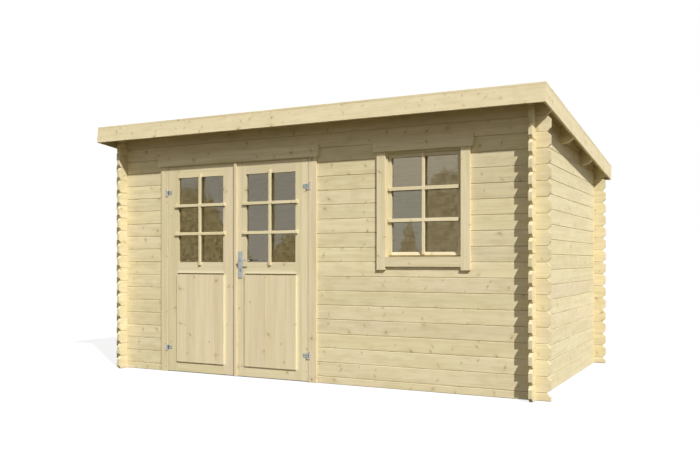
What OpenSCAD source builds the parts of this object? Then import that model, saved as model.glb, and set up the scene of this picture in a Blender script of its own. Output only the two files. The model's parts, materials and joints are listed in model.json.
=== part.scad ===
// Log cabin with a mono-pitch roof, a pair of half-glazed doors and one window.
// Millimetres. The origin is on the ground at the middle of the walls, +X runs along
// the front from left to right, -Y is the front and +Z is up.

/* [Walls] */
// Distance between the outer faces of the two side walls
wall_w = 3980; // [3000:10:5000]
// Distance between the outer faces of the front and back walls
wall_d = 2440; // [2000:10:3200]
// Height of one wall log
log_h = 120; // [100:1:150]
// Thickness of one wall log
log_t = 28; // [22:1:45]
// How far the logs run on past the corner joints
log_overrun = 110; // [80:1:150]
// Chamfer at the top and bottom of a log's end
end_chamfer = 28; // [5:1:35]
// Chamfer along a log's edges, which makes the groove between two logs
groove = 4; // [1:0.5:6]
// Full logs in the front wall above its half log
front_rows = 18; // [17:1:20]
// Full logs in the back wall above its half log
back_rows = 16; // [12:1:16]

/* [Roof] */
// Reach of the roof past the front and back walls
roof_reach = 240; // [150:1:400]
// Thickness of the roof boards
deck_t = 18; // [12:1:28]
// Thickness of the fascia boards, edge battens and cover laths
board_t = 18; // [12:1:28]
// Drop of the fascia below the underside of the roof boards
fascia_drop = 92; // [40:1:130]
// Width of the battens along the roof's edges
batten_w = 40; // [30:1:80]
// Height of a purlin
purlin_h = 135; // [100:1:180]
// Thickness of a purlin
purlin_t = 45; // [30:1:70]
// Front faces of the purlins, measured from the front wall's outer face
purlin_places = [813, 1677];
// Length of the rounding under a purlin's end
purlin_round = 75; // [30:1:100]

/* [Doorway] */
// Middle of the doorway along X
door_x = -694; // [-900:1:-500]
// Clear width between the door's side trims
door_w = 1514; // [1200:1:1800]
// Underside of the boards over the door and the window
head_z = 1908; // [1700:1:1950]
// Width of the door's side trims
door_trim_w = 79; // [50:1:110]
// Thickness of the door's side trims
door_trim_t = 16; // [10:1:28]
// Thickness of the frame timbers that line the doorway and the window
lining_t = 30; // [20:1:40]
// Depth of the linings, from the wall's outer face
lining_depth = 60; // [50:1:90]
// Width of the stop that a door leaf closes against
stop_w = 20; // [10:1:30]
// Width of the linings' lips on the inside of the wall
lip_w = 49; // [20:1:60]
// Thickness of those lips
lip_t = 16; // [10:1:20]
// Height of the threshold
threshold_h = 28; // [15:1:40]
// Height of the boards over the door and the window
header_h = 97; // [60:1:110]
// Thickness of those boards
header_t = 37; // [24:1:45]
// Reach of the header board past the door's trims
door_header_reach = 22; // [0:1:50]

/* [Door leaves] */
// Thickness of a leaf
leaf_t = 40; // [34:1:60]
// Gap between a leaf and the frame around it
leaf_gap = 6; // [5:0.5:10]
// Gap where the two leaves meet
meeting_gap = 8; // [7:0.5:12]
// Height of the leaves' lower edge above the ground
leaf_lift = 10; // [6:1:20]
// Width of the stiles
stile_w = 120; // [80:1:150]
// Height of the top rail
top_rail_h = 104; // [60:1:140]
// Lower edge of the glass in a leaf
light_z = 1019; // [950:1:1200]
// Top of the boarded panel in a leaf
panel_top = 919; // [600:1:935]
// Bottom of the boarded panel in a leaf
panel_bottom = 100; // [80:1:200]
// Overlap of the panel on the stiles and rails
panel_lap = 11; // [5:1:20]
// How far the panel stands proud of the stiles
panel_proud = 12; // [4:1:12]
// Height and depth of the drip slot over the panel
panel_slot = [13, 15]; // [4:1:15]
// Thickness of the panel's core between the stiles
panel_core = 20; // [12:1:28]
// Thickness of all panes
glass_t = 4; // [3:0.5:8]
// Depth from a leaf's face to its pane
door_glass_set = 20; // [10:1:26]
// Width of the strip along the meeting edge of the right leaf
astragal_w = 25; // [18:1:40]
// Thickness of that strip
astragal_t = 17; // [10:1:22]
// Height of the strip's lower end above the ground
astragal_lift = 5; // [4:1:20]

/* [Hinges and handle] */
// Heights of the hinges' middles
hinge_places = [228, 1664];
// Diameter of a hinge pin
pin_d = 8; // [6:0.5:8]
// Outer diameter of a hinge knuckle
knuckle_d = 15; // [12:0.5:17]
// Height of a hinge's strap and knuckle
strap_h = 35; // [25:1:50]
// Length of a hinge's strap on the leaf
strap_l = 43; // [30:1:80]
// Height of a hinge's plate on the trim
hinge_plate_h = 72; // [60:1:100]
// Width of a hinge's plate on the trim
hinge_plate_w = 20; // [14:1:30]
// Thickness of hinge plates and straps
hinge_steel = 3; // [2:0.5:4]
// Distance from a pin's axis to the leaf's face
pin_proud = 9; // [8.5:0.5:12]
// Height of the lever's axis
handle_z = 1034; // [980:1:1100]
// Distance from the meeting edge of the right leaf to the lever's axis
backset = 62; // [50:1:80]
// Width of the long handle plates
plate_w = 40; // [34:1:50]
// Height of the handle plates
plate_h = 236; // [180:1:260]
// Distance from the lever's axis up to the plates' top
plate_top = 82; // [40:1:100]
// Thickness of the handle plates
plate_t = 7; // [4:0.5:10]
// Diameter of the lever's neck
neck_d = 18; // [14:0.5:22]
// Length of the lever from its axis to its tip
lever_l = 125; // [90:1:140]
// Height of the lever's grip
lever_h = 11; // [9:1:24]
// Thickness of the lever's grip
lever_t = 10; // [7:0.5:14]
// Distance from the leaf's face to the outside of the grip
lever_proud = 54; // [45:1:70]

/* [Window] */
// Middle of the window along X
window_x = 1099; // [1000:1:1250]
// Clear width between the window's side trims
window_w = 637; // [500:1:900]
// Top of the window's bottom lining
window_z = 1063; // [1063:1:1300]
// Thickness of the bottom lining
window_sill_t = 43; // [30:1:43]
// Width of the window's side trims
window_trim_w = 75; // [50:1:110]
// Thickness of the window's trims
window_trim_t = 22; // [12:1:28]
// Height of the board under the window
apron_h = 79; // [50:1:110]
// Reach of the side trims below that board
trim_tail = 27; // [0:1:60]
// How far the window's frame shows inside its side trims
window_ledge = 11; // [0:1:20]
// How far the frame shows below the board over the window
window_head_ledge = 20; // [3:1:30]
// Reach of the header board past the window's trims
window_header_reach = 28; // [0:1:50]
// Depth from the wall's outer face to the sash
sash_set = 18; // [10:1:24]
// Thickness of the sash
sash_t = 38; // [28:1:40]
// Width of the sash's stiles and rails
sash_w = 27; // [24:1:60]
// Height of the groove under the sash
sash_lift = 11; // [6:1:20]
// Depth from the wall's outer face to the back of that groove
groove_set = 36; // [28:1:45]
// Depth from the sash's face to its pane
window_glass_set = 20; // [10:1:26]

/* [Hidden] */
$fn = 48;

spruce = "#dccb9f";
glass_grey = [0.49, 0.46, 0.41, 0.6];
zinc = "#a9b2b8";

seat = 0.3;                                    // gap between pieces that rest on each other
running = 0.05;                                // radial clearance of a turning fit
big = 10000;                                   // longer than the cabin
notch = log_h / 4;                             // depth of the corner joint, top and bottom

front_y = -wall_d / 2;                         // outer face of the front wall
back_y = wall_d / 2;                           // outer face of the back wall
left_x = -wall_w / 2;                          // outer face of the left wall
right_x = wall_w / 2;                          // outer face of the right wall
front_top = log_h * (front_rows + 0.5);        // top of the front wall
back_top = log_h * (back_rows + 0.5);          // top of the back wall
pitch = atan((front_top - back_top) / wall_d); // slope of the roof, falling to the back
side_rows = ceil((front_top + log_overrun * tan(pitch)) / log_h);

// Roof places: v runs down the slope from the front wall's top outer edge, w is square to
// the boards, and w = 0 is their underside.
fascia_top = deck_t + board_t;
roof_top = fascia_top + board_t;
eave_v = -(roof_reach - fascia_drop * sin(pitch)) / cos(pitch);
tail_v = (wall_d + roof_reach - roof_top * sin(pitch)) / cos(pitch);
deck_x = wall_w / 2 + log_overrun;             // half the length of the field of roof boards
lath_w = board_t + batten_w;

// Openings cut in the front wall
door_cut_l = door_x - door_w / 2 - lining_t;
door_cut_r = door_x + door_w / 2 + lining_t;
door_head_z = head_z - 3;                      // underside of the lining over the doorway
cut_top = door_head_z + lining_t;              // top of both openings
window_cut_l = window_x - window_w / 2 - lining_t;
window_cut_r = window_x + window_w / 2 + lining_t;
window_cut_z = window_z - window_sill_t;
frame_half = window_w / 2 - window_ledge;      // half the clear width inside the window's frame
frame_head_z = head_z - window_head_ledge;     // underside of the frame over the window
// First rows of the front wall at and above the window's cut, and over both cuts
sill_row = ceil(window_cut_z / log_h - 0.5) + 1;
head_row = floor(cut_top / log_h - 0.5) + 1;

// Door leaves
leaf_w = (door_w - meeting_gap) / 2 - leaf_gap;
leaf_top = door_head_z - leaf_gap;
light_top = leaf_top - top_rail_h;
stop_y = leaf_t - door_trim_t + leaf_gap - 1;  // front of the stops, from the wall's face
pin_off = leaf_gap / 2;                        // pin's axis, from the leaf's edge

// ---- Walls ---------------------------------------------------------------------------

// Height of the roof boards' underside over a place in Y
function roof_z(y) = front_top - (y - front_y) * tan(pitch);

// Lower edge of a row in the front and back walls, which start with a half log
function long_row_z(row) = row == 0 ? 0 : (row - 0.5) * log_h;

// Square given by its low and high corners
module area(u0, z0, u1, z1) {
    translate([u0, z0]) square([u1 - u0, z1 - z0]);
}

// Side view of a log with chamfered ends, running from -half to +half; a half log on the
// ground has its chamfers at the top only
module log_view(half, z0, z1, half_log = false) {
    c = min(end_chamfer, (z1 - z0) / 2 - 1);
    foot = half_log ? 0 : c;
    polygon([
        [-half, z0 + foot], [-half + foot, z0], [half - foot, z0], [half, z0 + foot],
        [half, z1 - c], [half - c, z1], [-half + c, z1], [-half, z1 - c]
    ]);
}

// Corner joints cut from the top and bottom of a log at both crossings; a half log on the
// ground has them in its top only
module crossings(outer, z0, z1, half_log = false) {
    for (side = [-1, 1]) {
        mid = side * (outer - log_t / 2);
        reach = log_t / 2 + seat;
        area(mid - reach, z1 - notch, mid + reach, z1 + 1);
        if (!half_log) area(mid - reach, z0 - 1, mid + reach, z0 + notch + seat);
    }
}

// Side view of a row of the front or back wall, with its corner joints
module long_log_view(row, z0, z1) {
    difference() {
        log_view(deck_x - seat, z0, z1, half_log = row == 0);
        crossings(wall_w / 2, z0, z1, half_log = row == 0);
    }
}

// Cross-section of a log, thickness against height, with its four edges chamfered
module log_section(z0, z1) {
    polygon([
        [0, z0 + groove], [groove, z0], [log_t - groove, z0], [log_t, z0 + groove],
        [log_t, z1 - groove], [log_t - groove, z1], [groove, z1], [0, z1 - groove]
    ]);
}

// A log of the front or back wall: its side view is child 0, with its outer face at y = 0
// and its inner face at y = log_t
module long_log(z0, z1) {
    intersection() {
        translate([0, log_t, 0]) rotate([90, 0, 0]) linear_extrude(log_t) children(0);
        translate([-big / 2, 0, 0]) rotate([90, 0, 90]) linear_extrude(big) log_section(z0, z1);
    }
}

// Everything below the roof boards, as a prism along X
module under_roof() {
    translate([-big / 2, 0, 0]) rotate([90, 0, 90]) linear_extrude(big) under_roof_view();
}

// The same in side view, Y against Z
module under_roof_view() {
    far = wall_d;
    polygon([
        [-far, -1], [far, -1], [far, roof_z(far) - seat], [-far, roof_z(-far) - seat]
    ]);
}

// One row of the front wall between two places along X, cut by the doorway and window
module front_row(row, from_x = -big, to_x = big) {
    z0 = long_row_z(row);
    z1 = (row + 0.5) * log_h - seat;
    intersection() {
        translate([0, front_y, 0]) long_log(z0, z1) {
            intersection() {
                difference() {
                    long_log_view(row, z0, z1);
                    area(door_cut_l, -1, door_cut_r, cut_top);
                    area(window_cut_l, window_cut_z, window_cut_r, cut_top);
                }
                area(from_x, z0 - 1, to_x, z1 + 1);
            }
        }
        under_roof();
    }
}

module front_wall_left_logs() {
    color(spruce) for (row = [0 : head_row - 1]) front_row(row, to_x = door_x);
}

module front_wall_lower_logs() {
    color(spruce) for (row = [0 : sill_row - 1]) front_row(row, from_x = door_x);
}

module front_wall_middle_logs() {
    color(spruce) for (row = [sill_row : head_row - 1])
        front_row(row, from_x = door_x, to_x = window_x);
}

module front_wall_right_logs() {
    color(spruce) for (row = [sill_row : head_row - 1]) front_row(row, from_x = window_x);
}

module front_wall_top_logs() {
    color(spruce) for (row = [head_row : front_rows]) front_row(row);
}

module back_wall_logs() {
    color(spruce) for (row = [0 : back_rows]) {
        z0 = long_row_z(row);
        z1 = (row + 0.5) * log_h - seat;
        translate([0, back_y, 0]) mirror([0, 1, 0]) long_log(z0, z1) long_log_view(row, z0, z1);
    }
}

// Underside of a purlin
function purlin_z(place) = roof_z(front_y + place) - purlin_h;

// A side wall with its outer face at x = 0 and its inner face at x = log_t
module side_wall() {
    for (row = [0 : side_rows - 1]) {
        z0 = row * log_h;
        z1 = z0 + log_h - seat;
        intersection() {
            rotate([90, 0, 90]) linear_extrude(log_t) difference() {
                intersection() {
                    log_view(wall_d / 2 + log_overrun, z0, z1);
                    under_roof_view();
                }
                crossings(wall_d / 2, z0, z1);
                for (place = purlin_places) {
                    y0 = front_y + place - seat;
                    area(y0, purlin_z(place) - seat, y0 + purlin_t + 2 * seat, big);
                }
            }
            translate([0, big / 2, 0]) rotate([90, 0, 0]) linear_extrude(big)
                log_section(z0, z1);
        }
    }
}

module left_wall_logs() {
    color(spruce) translate([left_x, 0, 0]) side_wall();
}

module right_wall_logs() {
    color(spruce) translate([right_x, 0, 0]) mirror([1, 0, 0]) side_wall();
}

// ---- Roof ----------------------------------------------------------------------------

// Moves children from the roof's own frame to their place
module on_roof() {
    translate([0, front_y, front_top]) rotate([-pitch, 0, 0]) children();
}

// A board given by its low and high corners in the roof's frame
module roof_board(x0, v0, w0, x1, v1, w1) {
    on_roof() translate([x0, v0, w0]) cube([x1 - x0, v1 - v0, w1 - w0]);
}

// Side view of a purlin with its underside at z = 0; each end is rounded up to a nose as
// low as the fascia
module purlin_view() {
    reach = deck_x - seat;
    nose = purlin_h - fascia_drop;
    r = (pow(purlin_round, 2) + pow(nose, 2)) / (2 * nose);
    straight = reach - purlin_round;
    area(-reach, nose, reach, purlin_h);
    intersection() {
        area(-reach, 0, reach, nose + 1);
        hull() for (x = [-straight, straight]) translate([x, r]) circle(r, $fn = 96);
    }
}

module purlins() {
    color(spruce) intersection() {
        for (place = purlin_places)
            translate([0, front_y + place + purlin_t, purlin_z(place)]) rotate([90, 0, 0])
                linear_extrude(purlin_t) purlin_view();
        under_roof();
    }
}

module roof_boards() {
    v0 = eave_v + board_t + seat;
    v1 = tail_v - board_t - seat;
    color(spruce) roof_board(-deck_x + seat, v0, 0, deck_x - seat, v1, deck_t);
}

// A fascia board across the roof, with its outer face at a place down the slope
module cross_fascia(v0) {
    x = deck_x + board_t;
    roof_board(-x, v0, -fascia_drop, x, v0 + board_t, fascia_top);
}

module front_fascia() {
    color(spruce) cross_fascia(eave_v);
}

module back_fascia() {
    color(spruce) cross_fascia(tail_v - board_t);
}

// A fascia board down the slope, with its inner face at x0
module slope_fascia(x0) {
    v0 = eave_v + board_t + seat;
    v1 = tail_v - board_t - seat;
    roof_board(x0, v0, -fascia_drop, x0 + board_t, v1, fascia_top);
}

module left_fascia() {
    color(spruce) slope_fascia(-deck_x - board_t);
}

module right_fascia() {
    color(spruce) slope_fascia(deck_x);
}

module edge_battens() {
    x = deck_x - seat;
    v0 = eave_v + board_t + seat;
    v1 = tail_v - board_t - seat;
    low = deck_t + seat;
    color(spruce) {
        roof_board(-x, v0, low, x, v0 + batten_w, fascia_top);
        roof_board(-x, v1 - batten_w, low, x, v1, fascia_top);
        for (x0 = [-x, x - batten_w])
            roof_board(x0, v0 + batten_w + seat, low, x0 + batten_w, v1 - batten_w - seat, fascia_top);
    }
}

module cover_laths() {
    x = deck_x + board_t;
    low = fascia_top + seat;
    color(spruce) {
        roof_board(-x, eave_v, low, x, eave_v + lath_w, roof_top);
        roof_board(-x, tail_v - lath_w, low, x, tail_v, roof_top);
        for (x0 = [-x, x - lath_w])
            roof_board(x0, eave_v + lath_w + seat, low, x0 + lath_w, tail_v - lath_w - seat, roof_top);
    }
}

// ---- Doorway -------------------------------------------------------------------------

// Does the same on the left and the right of the doorway's middle; x runs outwards
module both_jambs() {
    for (side = [0, 1])
        translate([door_x, front_y, 0]) mirror([side, 0, 0]) children();
}

module door_jambs() {
    x0 = door_w / 2;
    x1 = x0 + lining_t - seat;
    color(spruce) both_jambs() linear_extrude(door_head_z - seat) polygon([
        [x0, 0], [x1, 0], [x1, log_t + seat], [x1 + lip_w, log_t + seat],
        [x1 + lip_w, log_t + lip_t], [x1, log_t + lip_t], [x1, lining_depth],
        [x0 - stop_w, lining_depth], [x0 - stop_w, stop_y], [x0, stop_y]
    ]);
}

module door_head() {
    x = door_w / 2 + lining_t - seat;
    z1 = cut_top - seat;
    color(spruce) difference() {
        translate([door_x - x, front_y, 0]) rotate([90, 0, 90]) linear_extrude(2 * x) polygon([
            [0, door_head_z], [stop_y, door_head_z], [stop_y, door_head_z - stop_w],
            [lining_depth, door_head_z - stop_w], [lining_depth, z1 - log_t / 2],
            [log_t + lip_t, z1 - log_t / 2], [log_t + lip_t, z1 + lip_w],
            [log_t + seat, z1 + lip_w], [log_t + seat, z1], [0, z1]
        ]);
        // The stop runs between the jambs' stops
        both_jambs() translate([door_w / 2 - stop_w - seat, -1, 0])
            cube([lining_t + 2 * stop_w, lining_depth + 2, door_head_z]);
    }
}

module door_threshold() {
    x = door_w / 2 - stop_w - seat;
    color(spruce) translate([door_x - x, front_y + stop_y, 0])
        cube([2 * x, lining_depth - stop_y, threshold_h]);
}

module door_trims() {
    color(spruce) both_jambs() translate([door_w / 2, -door_trim_t, 0])
        cube([door_trim_w, door_trim_t - seat, head_z - seat]);
}

// The board over an opening, reaching a given way to each side of its middle
module header_board(middle, half) {
    color(spruce) translate([middle - half, front_y - header_t, head_z])
        cube([2 * half, header_t - seat, header_h]);
}

module door_header() {
    header_board(door_x, door_w / 2 + door_trim_w + door_header_reach);
}

// ---- Door leaves ---------------------------------------------------------------------
// A leaf is drawn with its hinge edge at x = 0, its face at y = 0 and the ground at z = 0.

module at_left_leaf() {
    translate([door_x - door_w / 2 + leaf_gap, front_y - door_trim_t, 0]) children();
}

module at_right_leaf() {
    translate([door_x + door_w / 2 - leaf_gap, front_y - door_trim_t, 0]) mirror([1, 0, 0])
        children();
}

// One stile with its hinge-side edge at x
module leaf_stile(x) {
    translate([x, 0, leaf_lift]) cube([stile_w, leaf_t, leaf_top - leaf_lift]);
}

// The lower front edge of the middle rail is cut back over the panel
module leaf_rails() {
    x0 = stile_w + seat;
    x1 = leaf_w - stile_w - seat;
    difference() {
        for (z = [
            [leaf_lift, panel_bottom + panel_lap],
            [panel_top - panel_lap, light_z],
            [light_top, leaf_top]
        ])
            translate([x0, 0, z[0]]) cube([x1 - x0, leaf_t, z[1] - z[0]]);
        translate([0, -1, panel_top - panel_lap - 1])
            cube([leaf_w, panel_slot[1] + 1, panel_lap + 1]);
    }
}

module leaf_panel() {
    x0 = stile_w + seat;
    x1 = leaf_w - stile_w - seat;
    z0 = panel_bottom + panel_lap + seat;
    z1 = panel_top - panel_lap - seat;
    translate([x0, -seat, z0]) cube([x1 - x0, panel_core + seat, z1 - z0]);
    face_top = panel_top - panel_slot[0];
    translate([stile_w - panel_lap, -panel_proud, panel_bottom])
        cube([leaf_w - 2 * (stile_w - panel_lap), panel_proud - seat, face_top - panel_bottom]);
}

module leaf_glass() {
    x0 = stile_w + seat;
    x1 = leaf_w - stile_w - seat;
    translate([x0, door_glass_set, light_z + seat])
        cube([x1 - x0, glass_t, light_top - light_z - 2 * seat]);
}

// The moving halves of a leaf's hinges: a knuckle with its strap
module leaf_straps() {
    for (z = hinge_places) translate([-pin_off, -pin_proud, z - strap_h / 2]) difference() {
        union() {
            cylinder(d = knuckle_d, h = strap_h);
            translate([0, pin_proud - seat - hinge_steel, 0])
                cube([pin_off + strap_l, hinge_steel, strap_h]);
        }
        translate([0, 0, -1]) cylinder(d = pin_d + 2 * running, h = strap_h + 2);
    }
}

module left_leaf_stiles() {
    color(spruce) at_left_leaf() {
        leaf_stile(0);
        leaf_stile(leaf_w - stile_w);
    }
}

module left_leaf_rails() {
    color(spruce) at_left_leaf() leaf_rails();
}

module left_leaf_panel() {
    color(spruce) at_left_leaf() leaf_panel();
}

module left_leaf_glass() {
    color(glass_grey) at_left_leaf() leaf_glass();
}

module left_leaf_straps() {
    color(zinc) at_left_leaf() leaf_straps();
}

module right_leaf_stiles() {
    spindle_room = neck_d + 2;
    color(spruce) at_right_leaf() {
        leaf_stile(0);
        difference() {
            leaf_stile(leaf_w - stile_w);
            translate([leaf_w - backset, -1, handle_z]) rotate([-90, 0, 0])
                cylinder(d = spindle_room, h = leaf_t + 2);
        }
    }
}

module right_leaf_rails() {
    color(spruce) at_right_leaf() leaf_rails();
}

module right_leaf_panel() {
    color(spruce) at_right_leaf() leaf_panel();
}

module right_leaf_glass() {
    color(glass_grey) at_right_leaf() leaf_glass();
}

module right_leaf_straps() {
    color(zinc) at_right_leaf() leaf_straps();
}

module right_leaf_astragal() {
    color(spruce) at_right_leaf() translate([leaf_w - astragal_w, -astragal_t, astragal_lift])
        cube([astragal_w, astragal_t - seat, leaf_top - astragal_lift]);
}

// The fixed halves of the hinges: a plate on the trim with two lugs that hold the pin
module hinge_plates() {
    lug_h = 8;
    edge = leaf_gap / 2 + 5;                   // from the pin's axis to the plate
    lift = strap_h / 2 + 0.5;                  // from a hinge's middle to its lugs
    color(zinc) for (side = [0, 1])
        translate([door_x, front_y - door_trim_t - pin_proud, 0]) mirror([side, 0, 0])
            translate([door_w / 2 - leaf_gap + pin_off, 0, 0]) for (z = hinge_places)
                translate([0, 0, z]) {
                    cylinder(d = pin_d, h = 2 * (lift + lug_h), center = true);
                    translate([edge, pin_proud - seat - hinge_steel, -hinge_plate_h / 2])
                        cube([hinge_plate_w, hinge_steel, hinge_plate_h]);
                    for (z0 = [lift, -lift - lug_h]) translate([0, 0, z0]) {
                        cylinder(d = knuckle_d, h = lug_h);
                        translate([0, pin_proud - seat - hinge_steel, 0])
                            cube([edge + 1, hinge_steel, lug_h]);
                    }
                }
}

// Moves children to the lever's axis, with y = 0 on the leaf's outer face
module at_handle() {
    at_right_leaf() translate([leaf_w - backset, 0, handle_z]) children();
}

module handle_plates() {
    color(zinc) at_handle() for (y = [-plate_t - seat, leaf_t + seat]) difference() {
        translate([-plate_w / 2, y, plate_top - plate_h]) cube([plate_w, plate_t, plate_h]);
        translate([0, y - 1, 0]) rotate([-90, 0, 0])
            cylinder(d = neck_d + 2 * running, h = plate_t + 2);
    }
}

module lever_handle() {
    spindle = 8;
    color(zinc) at_handle() {
        translate([-spindle / 2, -seat, -spindle / 2]) cube([spindle, leaf_t + 2 * seat, spindle]);
        for (side = [0, 1]) translate([0, leaf_t / 2, 0]) mirror([0, side, 0])
            translate([0, leaf_t / 2, 0]) {
                rotate([-90, 0, 0]) cylinder(d = neck_d, h = lever_proud);
                translate([-lever_l, lever_proud - lever_t, -lever_h / 2])
                    cube([lever_l, lever_t, lever_h]);
            }
    }
}

// ---- Window --------------------------------------------------------------------------

// A ring in the window's plane from y0 to y1: its outer edge is given by the distances from
// the clear opening to the sides, below and above
module window_ring(side, low, high, y0, y1) {
    translate([window_x, front_y + y1, 0]) rotate([90, 0, 0]) linear_extrude(y1 - y0)
        difference() {
            area(-frame_half - side, window_z - low, frame_half + side, frame_head_z + high);
            area(-frame_half, window_z, frame_half, frame_head_z);
        }
}

// The frame lines the hole in the wall, with a lip inside, and carries the sash on a step
module window_frame() {
    side = lining_t + window_ledge - seat;
    low = window_sill_t - seat;
    high = cut_top - frame_head_z - seat;
    color(spruce) {
        window_ring(side, low, high, 0, lining_depth);
        window_ring(side + lip_w, low + lip_w, high + lip_w, log_t + seat, log_t + lip_t);
        translate([window_x - frame_half - 1, front_y + groove_set, window_z - 1])
            cube([2 * frame_half + 2, lining_depth - groove_set, sash_lift + 1]);
    }
}

// The sash: its bottom rail slopes forward so that it sheds water
module window_sash() {
    x = frame_half - seat;
    z0 = window_z + sash_lift + seat;
    z1 = frame_head_z - seat;
    slope = window_glass_set - 2;
    lip = 4;                                   // upright part of the bottom rail's face
    color(spruce) translate([window_x, front_y + sash_set, 0]) difference() {
        translate([-x, 0, z0]) cube([2 * x, sash_t, z1 - z0]);
        translate([-x + sash_w, -1, z0 + sash_w])
            cube([2 * (x - sash_w), sash_t + 2, z1 - z0 - 2 * sash_w]);
        translate([-x + sash_w, 0, 0]) rotate([90, 0, 90]) linear_extrude(2 * (x - sash_w))
            polygon([
                [-1, z0 + lip], [0, z0 + lip], [slope, z0 + sash_w],
                [slope, z0 + sash_w + 1], [-1, z0 + sash_w + 1]
            ]);
    }
}

module window_glass() {
    x = frame_half - sash_w - 2 * seat;
    z0 = window_z + sash_lift + sash_w + 2 * seat;
    z1 = frame_head_z - sash_w - 2 * seat;
    color(glass_grey) translate([window_x - x, front_y + sash_set + window_glass_set, z0])
        cube([2 * x, glass_t, z1 - z0]);
}

module window_trims() {
    z0 = window_z - apron_h - trim_tail;
    color(spruce) for (side = [0, 1])
        translate([window_x, front_y - window_trim_t, z0]) mirror([side, 0, 0])
            translate([window_w / 2, 0, 0])
                cube([window_trim_w, window_trim_t - seat, head_z - seat - z0]);
}

module window_apron() {
    x = window_w / 2 - seat;
    color(spruce) translate([window_x - x, front_y - window_trim_t, window_z - apron_h])
        cube([2 * x, window_trim_t - seat, apron_h]);
}

module window_header() {
    header_board(window_x, window_w / 2 + window_trim_w + window_header_reach);
}

front_wall_left_logs();
front_wall_lower_logs();
front_wall_middle_logs();
front_wall_right_logs();
front_wall_top_logs();
back_wall_logs();
left_wall_logs();
right_wall_logs();
purlins();
roof_boards();
front_fascia();
back_fascia();
left_fascia();
right_fascia();
edge_battens();
cover_laths();
door_jambs();
door_head();
door_threshold();
door_trims();
door_header();
hinge_plates();
left_leaf_stiles();
left_leaf_rails();
left_leaf_panel();
left_leaf_glass();
left_leaf_straps();
right_leaf_stiles();
right_leaf_rails();
right_leaf_panel();
right_leaf_glass();
right_leaf_straps();
right_leaf_astragal();
handle_plates();
lever_handle();
window_frame();
window_sash();
window_glass();
window_trims();
window_apron();
window_header();
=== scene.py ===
"""Looks of a spruce log cabin: wood, glass and metal materials, glazing bars, boards,
fittings, camera, floor and light. Positions are in metres, in the frame of the CAD part."""
import json
import math

import bmesh
import bpy
from mathutils import Matrix, Vector


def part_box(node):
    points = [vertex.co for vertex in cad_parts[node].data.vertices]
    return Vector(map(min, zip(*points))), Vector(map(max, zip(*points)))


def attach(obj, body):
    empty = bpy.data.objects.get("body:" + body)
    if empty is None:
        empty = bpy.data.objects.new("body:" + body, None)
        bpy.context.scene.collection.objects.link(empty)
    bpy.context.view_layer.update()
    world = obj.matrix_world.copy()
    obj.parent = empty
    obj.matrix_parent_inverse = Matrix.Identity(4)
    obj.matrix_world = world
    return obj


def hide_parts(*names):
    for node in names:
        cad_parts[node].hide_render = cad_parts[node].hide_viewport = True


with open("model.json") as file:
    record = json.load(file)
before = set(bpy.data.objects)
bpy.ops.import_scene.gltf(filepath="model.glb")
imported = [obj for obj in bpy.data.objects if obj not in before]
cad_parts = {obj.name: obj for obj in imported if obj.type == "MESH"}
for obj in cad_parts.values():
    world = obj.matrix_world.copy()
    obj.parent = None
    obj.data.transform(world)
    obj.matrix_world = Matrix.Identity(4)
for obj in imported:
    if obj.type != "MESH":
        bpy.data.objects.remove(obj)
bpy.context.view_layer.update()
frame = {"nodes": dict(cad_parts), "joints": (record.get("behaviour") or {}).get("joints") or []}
nodes = frame["nodes"]

# ---- Sizes, most of them read from the frame ----

LOG = 0.120                      # height of a wall log
LOG_T = 0.028                    # thickness of a wall log
DECK_T = 0.018                   # thickness of the roof boards
BOARD_COUNT = 45                 # roof boards side by side

WALL_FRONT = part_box("front_wall_top_logs")[0].y
WALL_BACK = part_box("back_wall_logs")[1].y
WALL_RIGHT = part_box("right_wall_logs")[1].x
DECK_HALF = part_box("right_fascia")[0].x      # half the width of the field of roof boards


def joint_place(name):
    """A point on a joint's axis."""
    return Vector(next(j for j in frame["joints"] if j["name"] == name)["pos_m"])


# The roof's own frame: x across, v down the slope from the front wall's top, w square to it.
# The front wall is 18 and a half logs high, the back wall 16 and a half.
FRONT_TOP = LOG * 18.5
BACK_TOP = LOG * 16.5
PITCH = math.atan2(FRONT_TOP - BACK_TOP, WALL_BACK - WALL_FRONT)
ROOF_ORIGIN = Vector((0, WALL_FRONT, FRONT_TOP))
ROOF = Matrix.Translation(ROOF_ORIGIN) @ Matrix.Rotation(-PITCH, 4, "X")

# ---- Node helpers ----


def connect(tree, socket, value):
    """Links a socket, or sets a plain value."""
    if isinstance(value, bpy.types.NodeSocket):
        tree.links.new(value, socket)
    else:
        socket.default_value = value


def feed(tree, target, inputs):
    """Feeds a node's inputs, which are called by name or number."""
    for key, value in inputs.items():
        connect(tree, target.inputs[key], value)


def node(tree, kind, inputs=None, **settings):
    """Adds a shader node, sets its properties and feeds its inputs."""
    made = tree.nodes.new("ShaderNode" + kind)
    for name, value in settings.items():
        setattr(made, name, value)
    feed(tree, made, inputs or {})
    return made


def calc(tree, operation, *values):
    """A Math node."""
    return node(tree, "Math", dict(enumerate(values)), operation=operation).outputs[0]


def plus(tree, first, second):
    """The sum of two values."""
    return calc(tree, "ADD", first, second)


def minus(tree, first, second):
    """The first value less the second."""
    return calc(tree, "SUBTRACT", first, second)


def times(tree, first, second):
    """The product of two values."""
    return calc(tree, "MULTIPLY", first, second)


def scaled(tree, value, factor, extra):
    """A value times a factor, plus an extra."""
    return calc(tree, "MULTIPLY_ADD", value, factor, extra)


def far_from(tree, value, middle):
    """How far a value is from a middle, on either side."""
    return calc(tree, "ABSOLUTE", minus(tree, value, middle))


def diagonal(tree, first, second):
    """The length of the diagonal of two sides."""
    squares = plus(tree, calc(tree, "POWER", first, 2.0), calc(tree, "POWER", second, 2.0))
    return calc(tree, "SQRT", squares)


def dice_again(tree, value, factor):
    """Another random number, made from one between 0 and 1."""
    return calc(tree, "FRACT", times(tree, value, factor))


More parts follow.
